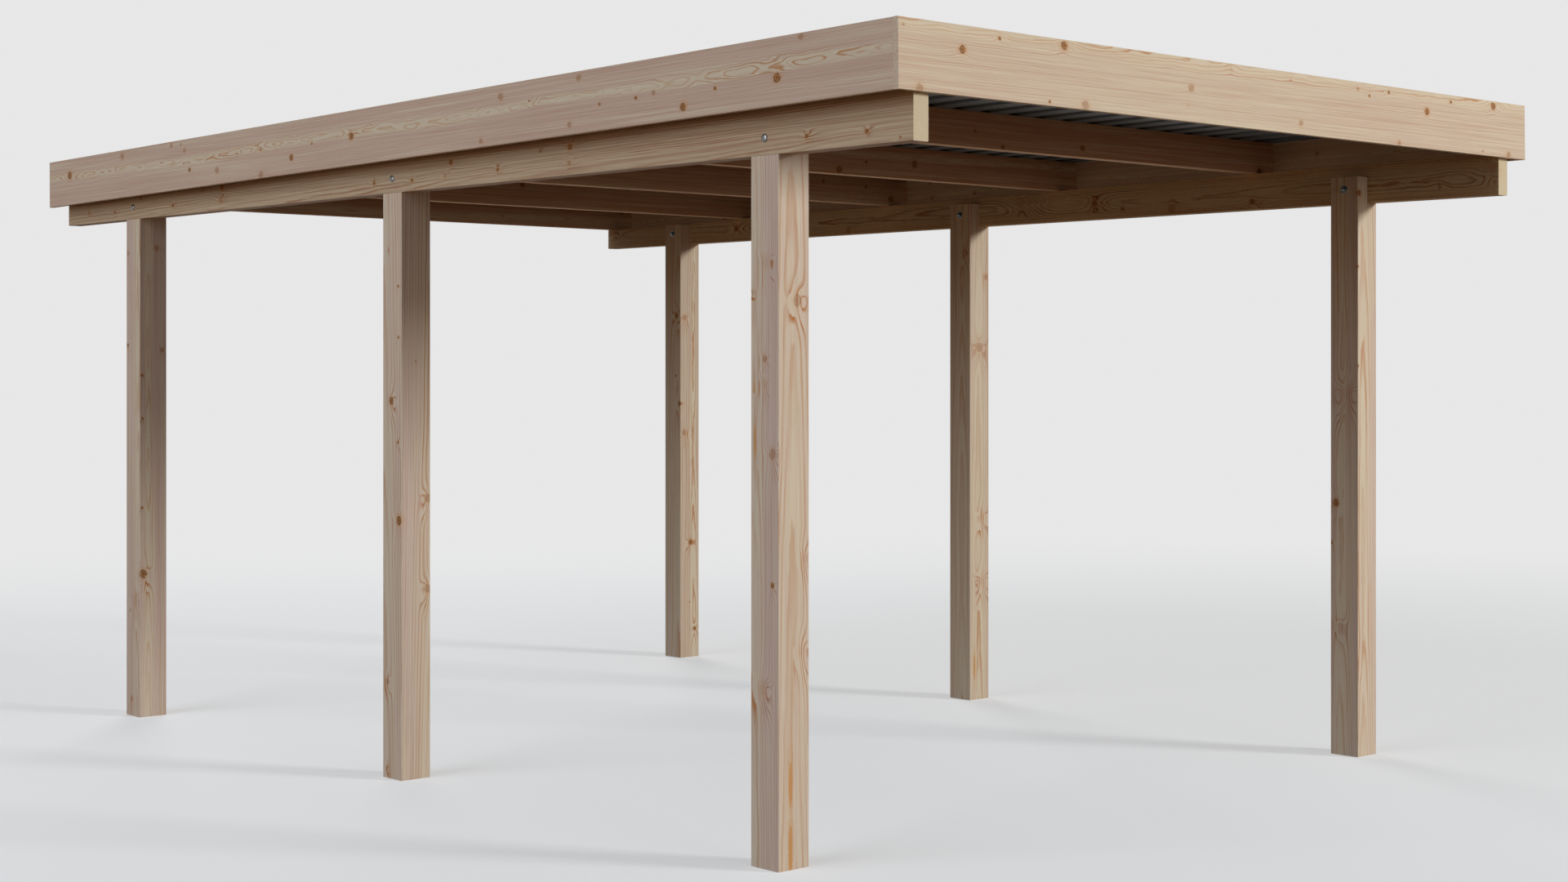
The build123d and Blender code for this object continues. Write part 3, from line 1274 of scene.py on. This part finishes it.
@dataclass
class Rafters(TimberSet):
    """Six rafters: along runs to the right, a runs down the fall."""

    slot: str = "rafter_timber"
    first: int = 9
    # Painted shade: the rafters' wood is set darker and redder than the other timbers' to stand for the shade
    # under the roof.
    finish: PlanedTimber = PlanedTimber(
        heart=srgb(190, 146, 114), tan=srgb(196, 158, 122), late=srgb(156, 102, 70))
    figures: dict[str, Figure] = field(default_factory=lambda: {
        "front_rafter": Figure((30, 20)),
        "rafter_2": Figure((-60, 90), knots(
            A_MIN, DARK, (1435, -6, 6), (2000, -30, 9), (1575, -54, 8), (3060, -52, 11))),
        "rafter_3": Figure((-40, 30), knots(A_MIN, DARK, (1755, -46, 12), (1900, -8, 6), (2170, -2, 12))),
        "rafter_4": Figure((-70, -90), knots(A_MIN, DARK, (2625, 26, 7), (2890, 16, 7), (3045, -34, 13))),
        "rafter_5": Figure((40, 80), knots(A_MIN, DARK, (1720, 34, 10))),
        "rear_rafter": Figure((-50, -30)),
    })

    def axes(self, node: str) -> Array:
        """To the right, down the fall, and square to the roof."""
        return roof_axes()


@dataclass
class Fascias(TimberSet):
    """Front board and two side boards, set square to the roof."""

    slot: str = "fascia_boards"
    first: int = 15
    finish: PlanedTimber = PlanedTimber(late=srgb(182, 145, 120), flame=srgb(182, 124, 70), waver=0.75)
    figures: dict[str, Figure] = field(default_factory=lambda: {
        "front_fascia": Figure((36, 100), (
            knots(A_MIN, DARK, (250, 30, 10), (400, 74, 5), (675, 80, 11), (2325, 76, 5), (2555, 30, 11),
                  (2705, 74, 5), (2980, 80, 11), (610, -86, 4))
            + knots(A_MIN, PALE, (20, 76, 4), (80, -90, 11), (765, -84, 12), (1260, 6, 10), (2145, 74, 5),
                    (2385, -90, 8), (3080, -86, 10), (2910, -84, 4))), 0.85),
        "left_fascia": Figure((-12, 20), (
            knots(A_MAX, DARK, (465, -18, 12), (880, -62, 11), (735, -22, 5), (1105, -14, 5), (2725, 6, 12),
                  (3140, -38, 10), (2995, 2, 4), (4985, 28, 14), (3365, 8, 4), (1285, -16, 4))
            + knots(A_MAX, PALE, (1390, 76, 9), (1810, 58, 11), (1440, -66, 8), (3700, -44, 11),
                    (4070, 82, 8), (3545, 8, 4))), 0.3),
        "right_fascia": Figure((14, -30)),
    })

    def axes(self, node: str) -> Array:
        """The front board runs like the rafters, a side board runs down the fall."""
        right, down, square = roof_axes()
        return np.array([right, down, square] if node == "front_fascia" else [down, -right, square])


@dataclass(frozen=True)
class RibLine:
    """Bent line of a roof sheet's underside.

    Attributes:
        pitch: Distance from rib to rib.
        offset: Place of the first rib to the right of the middle.
        top: Width of a rib's top.
        foot: Width of a rib's foot.
        rise: Height of a rib.
        bend: How far a bend reaches from its corner.
        bend_points: Points of a bend.
        thickness: Thickness of the metal.
        clearance: Room between the sheets in a lap.
        lip: Height at which the free edge of a lapping rib ends.
        most: More ribs than there are on either side of the middle.
        slack: How far a rib's top may stand out of its sheet.
    """

    pitch: float = 0.1413
    offset: float = 0.0426
    top: float = 0.033
    foot: float = 0.065
    rise: float = 0.020
    bend: float = 0.0015
    bend_points: int = 5
    thickness: float = 0.0006
    clearance: float = 0.0002
    lip: float = 0.005
    most: int = 40
    slack: float = 0.004

    def corners(self, left: float, right: float, leftmost: bool, rightmost: bool) -> Array:
        """Corners of a sheet's underside from left to right.

        Args:
            left: Left edge of the CAD sheet.
            right: Right edge of the CAD sheet.
            leftmost: Whether the left edge is a flat pan.
            rightmost: Whether the right edge is a flat pan.

        Returns:
            Places across and heights above the pans.
        """
        centres = self.offset + np.arange(-self.most, self.most + 1) * self.pitch
        half_top, half_foot = self.top / 2, self.foot / 2
        kept = (centres - half_top > left - self.slack) & (centres + half_top < right + self.slack)
        centres = centres[kept]
        rib = np.array([[-half_foot, 0], [-half_top, self.rise], [half_top, self.rise], [half_foot, 0]])
        ribs = centres[:, None, None] * [1.0, 0.0] + rib
        if not leftmost:
            ribs[0] = self.lapping(centres[0])
        before = [[[left, 0.0]]] if leftmost else []
        after = [[[right, 0.0]]] if rightmost else []
        return np.concatenate([*before, ribs.reshape(-1, 2), *after])

    def lapping(self, centre: float) -> Array:
        """Grow a rib so that it lies over the last rib of the sheet to its left.

        Args:
            centre: Place of the rib.

        Returns:
            Its corners from its free lip on.
        """
        grown = self.thickness + self.clearance
        rise = self.rise + grown
        slope = math.atan2(self.rise, (self.foot - self.top) / 2)
        foot = self.foot / 2 + grown / math.sin(slope)
        top = self.top / 2 + grown * math.tan(slope / 2)
        lip = foot + self.lip / rise * (top - foot)
        corners = np.array([[-lip, self.lip], [-top, rise], [top, rise], [foot, 0.0]])
        return corners + [centre, 0.0]

    def bent(self, corners: Array) -> tuple[Array, Array]:
        """Round the bends of a line: each is p(t) = (1-t)^2 a + 2t(1-t) c + t^2 b about its corner c.

        Args:
            corners: The line's corners.

        Returns:
            The rounded line and its normals to the left.
        """
        ways = np.diff(corners, axis=0)
        ways /= np.linalg.norm(ways, axis=1, keepdims=True)
        t = np.linspace(0, 1, self.bend_points)[None, :, None]
        middle = corners[1:-1, None]
        before, after = middle - self.bend * ways[:-1, None], middle + self.bend * ways[1:, None]
        arcs = (1 - t) ** 2 * before + 2 * t * (1 - t) * middle + t ** 2 * after
        turns = (1 - t) * ways[:-1, None] + t * ways[1:, None]
        line = np.concatenate([corners[:1], arcs.reshape(-1, 2), corners[-1:]])
        along = np.concatenate([ways[:1], turns.reshape(-1, 2), ways[-1:]])
        normals = np.stack([-along[:, 1], along[:, 0]], 1)
        return line, normals / np.linalg.norm(normals, axis=1, keepdims=True)


@dataclass
class RoofSheets(Assembly):
    """Ribbed roof sheets, lapped on a rib, that stand for the CAD sheets.

    Attributes:
        slot: Material slot of the record; not used.
        ribs: Line of their undersides.
        rows: Rows of points down the fall.
        finish: Their dark coating.
    """

    slot: str = "roof_metal"
    ribs: RibLine = RibLine()
    rows: int = 9
    finish: Metal = Metal("dark_coating", srgb(58, 59, 57), 0.0, 0.48, 0.10, 0.25, 0.20)

    def make(self) -> list[Piece]:
        """Build the sheets from left to right."""
        nodes = sorted(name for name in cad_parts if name.startswith("roof_sheet"))
        return [self.sheet(node, node == nodes[0], node == nodes[-1]) for node in nodes]

    def sheet(self, node: str, leftmost: bool, rightmost: bool) -> Piece:
        """Build one sheet: the bent line of its underside, thickened upwards and run down the fall.

        Args:
            node: CAD node that it stands for.
            leftmost: Whether its left edge is a flat pan.
            rightmost: Whether its right edge is a flat pan.

        Returns:
            The piece.
        """
        right, down, square = roof_axes()
        axes = np.array([-down, right, square])
        low, high = node_box(node, axes)
        under, normals = self.ribs.bent(self.ribs.corners(low[1], high[1], leftmost, rightmost))
        upper = under + self.ribs.thickness * normals
        facing = np.concatenate([-normals, normals[::-1]])
        places = np.linspace(low[0], high[0], self.rows)
        lines = np.concatenate([under, upper[::-1]]) + [0, low[2]]
        skin = np.empty((self.rows, len(lines), 3))
        skin[..., 0] = places[:, None]
        skin[..., 1:] = lines
        shell = Shell()
        shell.add_grid(skin @ axes, np.concatenate([np.zeros((len(lines), 1)), facing], 1) @ axes)
        for place, order in ((places[0], (upper, under)), (places[-1], (under, upper))):
            edge = np.empty((2, len(under), 3))
            edge[..., 0] = place
            edge[..., 1:] = np.stack(order) + [0, low[2]]
            shell.add_facets(edge @ axes, closed=False)
        piece = shell.to_object(f"{node}_metal")
        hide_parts(node)
        return piece


@dataclass
class Turned:
    """A fastener built round one axis.

    Attributes:
        shell: Where its surfaces go.
        centres: Points on the seats of all copies.
        axes: Rows are the axis and two directions across it, right-handed.
        crown: Share of a hexagon's flats that is left at its top.
    """

    shell: Shell
    centres: Array
    axes: Array
    crown: float = 0.97

    def rings(self, heights: Array, radii: Array) -> None:
        """Add facets of all copies: point(k, i) = axis * h(k, i) + r(k, i) * (cos, sin)(turn i).

        Args:
            heights: Heights over the seat, in rows up the axis and columns round it.
            radii: Radii of the same shape.
        """
        columns = radii.shape[1]
        turn = np.arange(columns) * TURN / columns
        local = np.stack(np.broadcast_arrays(heights, radii * np.cos(turn), radii * np.sin(turn)), -1)
        for centre in self.centres:
            points = centre + local @ self.axes
            self.shell.add_facets(points)
            self.shell.add_flat(points[0, ::-1], -self.axes[0])
            self.shell.add_flat(points[-1], self.axes[0])

    def lathe(self, profile: Array, columns: int = 40) -> None:
        """Turn a profile of heights and radii round the axis."""
        self.rings(np.repeat(profile[:, :1], columns, 1), np.repeat(profile[:, 1:], columns, 1))

    def hexagon(self, low: float, high: float, flats: float, columns: int = 48) -> None:
        """Add a hexagonal head or nut whose upper corners are cut by a cone.

        The radius over the corners is flats / 2 / cos(angle from the flat's middle), and the cone takes
        tan(30 degrees) of what it has over the flats off the height.

        Args:
            low: Height of its seat.
            high: Height of its top.
            flats: Width over its flats.
            columns: Columns round it.
        """
        turn = np.arange(columns) * TURN / columns
        radius = flats / 2 / np.cos((turn + TURN / 12) % (TURN / 6) - TURN / 12)
        top = flats / 2 * self.crown
        cone = high - (radius - top) * math.tan(TURN / 12)
        heights = np.stack([np.full(columns, low), cone, np.full(columns, high)])
        self.rings(heights, np.stack([radius, radius, np.full(columns, top)]))


@dataclass
class Bolts(Assembly):
    """Six carriage bolts through the laps: dome outside, washer, nut and thread inside.

    Attributes:
        slot: Empty, because the record lists no finish for them; not used.
        height: Height of the bolts over the ground.
        head: Radius of the domed head.
        dome: Height of the head.
        brim: Height of the head's straight edge.
        dome_rows: Rows of points up the dome.
        shank: Radius of the thread.
        washer: Radius and thickness of the washer.
        bevel: Width of the washer's bevelled edge, and share of the thickness where it starts.
        nut: Width over the flats and height of the nut.
        thread: Pitch and depth of the thread.
        spare: How far the thread stands out of the nut.
        point: Depths of the thread by which its very end is thinner.
        finish: Their zinc plating.
    """

    slot: str = ""
    height: float = 2.12
    head: float = 0.0123
    dome: float = 0.0055
    brim: float = 0.0012
    dome_rows: int = 12
    shank: float = 0.005
    washer: tuple[float, float] = (0.015, 0.0025)
    bevel: tuple[float, float] = (0.0006, 0.8)
    nut: tuple[float, float] = (0.017, 0.0084)
    thread: tuple[float, float] = (0.0015, 0.0008)
    spare: float = 0.005
    point: float = 1.4
    finish: Metal = Metal("zinc_plating", srgb(112, 112, 111), 1.0, 0.26, 0.12, 0.004)

    def make(self) -> list[Piece]:
        """Build one bolt for each post."""
        return [self.bolt(name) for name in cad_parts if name.endswith("_post")]

    def bolt(self, post: str) -> Piece:
        """Build the bolt of one post: the dome's height and radius run as sine and cosine of one sweep.

        Args:
            post: CAD node of the post.

        Returns:
            The piece.
        """
        low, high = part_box(post)
        out = 1.0 if low.x > 0 else -1.0
        outer, inner = (high.x, low.x) if out > 0 else (low.x, high.x)
        seat = np.array([[0.0, (low.y + high.y) / 2, self.height]])
        shell = Shell()
        head = Turned(shell, seat + [outer, 0, 0], np.diag([out, out, 1.0]))
        sweep = np.linspace(0, TURN / 4, self.dome_rows, endpoint=False)
        dome = np.stack([self.brim + (self.dome - self.brim) * np.sin(sweep), self.head * np.cos(sweep)], 1)
        head.lathe(np.concatenate([[[0.0, self.head]], dome]))
        back = Turned(shell, seat + [inner, 0, 0], np.diag([-out, -out, 1.0]))
        radius, thick = self.washer
        bevel, share = self.bevel
        back.lathe(np.array([[0, radius], [thick * share, radius], [thick, radius - bevel],
                             [thick, self.shank]]))
        flats, tall = self.nut
        back.hexagon(thick, thick + tall, flats)
        self.thread_end(back, thick + tall)
        return shell.to_object(post.replace("_post", "_bolt"))

    def thread_end(self, back: Turned, start: float, rows: int = 22, columns: int = 24) -> None:
        """Add the threaded end: r(h, turn) = shank - depth * |saw(h / pitch - turn)|.

        Args:
            back: The fastener's inner side.
            start: Height of the nut's top.
            rows: Rows up the thread.
            columns: Columns round it.
        """
        pitch, depth = self.thread
        heights = np.linspace(start - pitch, start + self.spare, rows)[:, None] + np.zeros((1, columns))
        saw = (heights / pitch - np.arange(columns) / columns) % 1.0
        radii = self.shank - depth * np.abs(2 * saw - 1)
        radii[-2:] = [[self.shank - depth], [self.shank - self.point * depth]]
        back.rings(heights, radii)


@dataclass
class RoofScrews(Assembly):
    """Roofing screws with sealing washers, in every second pan of the sheets over each rafter.

    Attributes:
        slot: Material slot of the record; not used.
        ribs: Line of the sheets' undersides.
        pans: First and last pan from the middle, and the step between them.
        washer: Radius of the sealing washer.
        washer_heights: Heights of its edge, its shoulder and its top.
        shoulder: Radius of its shoulder, as a share of its own.
        collar: Radius of its top, as a share of the head's flats.
        columns: Columns round the washer and the head.
        flats: Width of the head over its flats.
        head_top: Height of the head's top.
        finish: Their coating, in the colour of the sheets.
    """

    slot: str = "roof_metal"
    ribs: RibLine = RibLine()
    pans: tuple[int, int, int] = (-11, 11, 2)
    washer: float = 0.008
    washer_heights: tuple[float, float, float] = (0.0012, 0.0022, 0.0024)
    shoulder: float = 0.8
    collar: float = 0.62
    columns: tuple[int, int] = (20, 24)
    flats: float = 0.008
    head_top: float = 0.0070
    finish: Metal = Metal("screw_coating", srgb(66, 70, 72), 0.0, 0.4, 0.1, 0.01)

    def make(self) -> list[Piece]:
        """Build the screws as one piece.

        Returns:
            The piece.
        """
        axes = roof_axes()
        right, down, square = axes
        boxes = [node_box(name, axes) for name in sorted(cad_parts) if "rafter" in name]
        middles = [low[1] / 2 + high[1] / 2 for low, high in boxes]
        pan = node_box("roof_sheet_1", axes)[0][2] + self.ribs.thickness
        across = self.ribs.offset + (np.arange(*self.pans) + 0.5) * self.ribs.pitch
        spots = np.stack(np.meshgrid(across, middles, [pan], indexing="ij"), -1).reshape(-1, 3) @ axes
        shell = Shell()
        screws = Turned(shell, spots, np.array([square, right, down]))
        edge, shoulder, top = self.washer_heights
        screws.lathe(np.array([[0, self.washer], [edge, self.washer], [shoulder, self.washer * self.shoulder],
                               [top, self.flats * self.collar]]), self.columns[0])
        screws.hexagon(top, self.head_top, self.flats, self.columns[1])
        return [shell.to_object("roof_screws")]


@dataclass(frozen=True)
class Lamp:
    """An area lamp that faces the middle of the carport.

    Attributes:
        name: Name of the lamp.
        place: Its place.
        size: Its width and height.
        power: Power in watts.
        colour: Its colour.
        spread: Angle of its beam, in degrees.
        target: Where it faces.
    """

    name: str
    place: Place
    size: tuple[float, float]
    power: float
    colour: Colour
    spread: float = 180.0
    target: Place = (0.0, 0.0, 1.2)

    def build(self) -> None:
        """Hang the lamp."""
        data = bpy.data.lights.new(self.name, "AREA")
        data.shape = "RECTANGLE"
        data.size, data.size_y = self.size
        data.energy = self.power
        data.color = self.colour
        data.spread = math.radians(self.spread)
        lamp = bpy.data.objects.new(self.name, data)
        away = np.array(self.place) - np.array(self.target)
        lamp.location = self.place
        lamp.rotation_euler = (math.acos(away[2] / np.linalg.norm(away)), 0, math.atan2(away[0], -away[1]))
        lamp.visible_camera = False
        bpy.context.scene.collection.objects.link(lamp)


@dataclass
class Studio:
    """Camera, lamps, floor and background.

    Attributes:
        place: Place of the camera.
        heading: Turn of the camera to the right of the rear direction, in degrees.
        lens: Focal length for a sensor 36 mm wide.
        lift: Vertical shift that keeps uprights parallel.
        backdrop: Colour of the background.
        room: Colour of the even light of the room.
        room_strength: Strength of that light.
        bounce: Colour of the floor for the light that it gives back.
        floor_rings: Radii of the floor's rings.
        floor_columns: Columns round the floor.
        fade: Distances between which the floor fades into the backdrop.
        glow: Share of the backdrop's colour that the floor shows near by.
        floor_roughness: Roughness of the floor.
        lamps: The lamps.
    """

    place: Place = (-5.970, -6.9675, 1.4613)
    heading: float = 42.214
    lens: float = 52.993
    lift: float = -0.04825
    backdrop: Colour = (0.80, 0.80, 0.80)
    room: Colour = (0.92, 0.96, 1.0)
    room_strength: float = 0.15
    bounce: Colour = (0.11, 0.04, 0.01)
    floor_rings: tuple[float, ...] = (60.0, 20.0, 10.0, 5.0)
    floor_columns: int = 96
    fade: tuple[float, float] = (4.5, 11.0)
    glow: float = 0.48
    floor_roughness: float = 0.9
    lamps: tuple[Lamp, ...] = (
        Lamp("key", (14.2, -25.0, 9.7), (6.0, 6.0), 5850.0, (0.985, 1.0, 1.0)),
        Lamp("front", (-1.0, -20.0, 3.0), (9.0, 9.0), 750.0, (1.0, 0.90, 0.80)),
        Lamp("fill", (-16.0, 0.5, 8.4), (12.0, 12.0), 1500.0, (0.77, 0.87, 1.0)),
        Lamp("low", (-14.0, 0.0, 0.9), (4.0, 4.0), 190.0, (1.0, 0.72, 0.45)),
        Lamp("back", (6.0, 12.0, 9.0), (6.0, 6.0), 700.0, (1.0, 1.0, 1.0)),
        Lamp("under", (0.0, 0.0, 0.05), (2.6, 4.6), 3.6, (1.0, 0.80, 0.55), 45.0),
    )

    def build(self) -> None:
        """Set up the view, the light and the floor."""
        scene = bpy.context.scene
        scene.view_settings.view_transform = "Standard"
        camera = bpy.data.objects.new("camera", bpy.data.cameras.new("camera"))
        camera.location = self.place
        camera.rotation_euler = (TURN / 4, 0, -math.radians(self.heading))
        camera.data.lens = self.lens
        camera.data.shift_y = self.lift
        scene.collection.objects.link(camera)
        scene.camera = camera
        for lamp in self.lamps:
            lamp.build()
        self.build_world()
        self.build_floor()

    @staticmethod
    def seen(w: Wiring) -> Signal:
        """Tell the rays that show the backdrop.

        Args:
            w: Wiring of the material or the world.

        Returns:
            1 on rays from the camera, from a reflection or through glass.
        """
        path = w.add("LightPath")
        mirrored = path["Is Glossy Ray"].to("MAXIMUM", path["Is Transmission Ray"])
        return path["Is Camera Ray"].to("MAXIMUM", mirrored)

    def build_world(self) -> None:
        """Fill the room with even light, and show the backdrop's colour to the camera."""
        world = bpy.data.worlds.new("room")
        world.use_nodes = True
        bpy.context.scene.world = world
        w = Wiring(world.node_tree)
        light = w.add("Background", {"Color": self.room, "Strength": self.room_strength})["Background"]
        shown = w.add("Background", {"Color": self.backdrop})["Background"]
        chosen = w.add("MixShader", {0: self.seen(w), 1: light, 2: shown})["Shader"]
        w.feed(world.node_tree.nodes["World Output"], {"Surface": chosen})

    def build_floor(self) -> None:
        """Lay a plain pale floor, a disc of rings, that fades into the backdrop."""
        turn = np.arange(self.floor_columns) * TURN / self.floor_columns
        ray = np.stack([np.cos(turn), np.sin(turn), np.zeros_like(turn)], 1)
        rings = np.array(self.floor_rings)[:, None, None] * ray
        up = np.array([0.0, 0.0, 1.0])
        shell = Shell()
        shell.add_grid(rings, up)
        shell.add_flat(rings[-1], up)
        floor = shell.to_object("floor")
        made, w, shader = new_material("pale_floor")
        seen = self.seen(w)
        far = w.vector("LENGTH", w.add("TexCoord")["Object"])["Value"].smooth(*self.fade)
        near = w.mix(seen, self.bounce, GREY)
        w.feed(shader, {
            "Base Color": w.mix(far * seen, near, BLACK),
            "Roughness": self.floor_roughness,
            "Specular IOR Level": 0.0,
            "Emission Color": w.mix(far.ramp(self.glow, 1.0) * seen, BLACK, self.backdrop),
            "Emission Strength": 1.0,
        })
        floor.data.materials.append(made)


def main() -> None:
    """Build the carport's looks in order and report every piece."""
    logging.basicConfig(level=logging.INFO, format="%(name)s: %(message)s")
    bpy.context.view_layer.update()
    groups = WoodGroups()
    timbers = (Posts(groups), Beams(groups), Rafters(groups), Fascias(groups))
    for assembly in (*timbers, RoofSheets(), Bolts(), RoofScrews()):
        for piece in assembly.build():
            log.info("%s: %d faces", piece.name, len(piece.data.polygons))
    Studio().build()


if __name__ == "__main__":
    main()
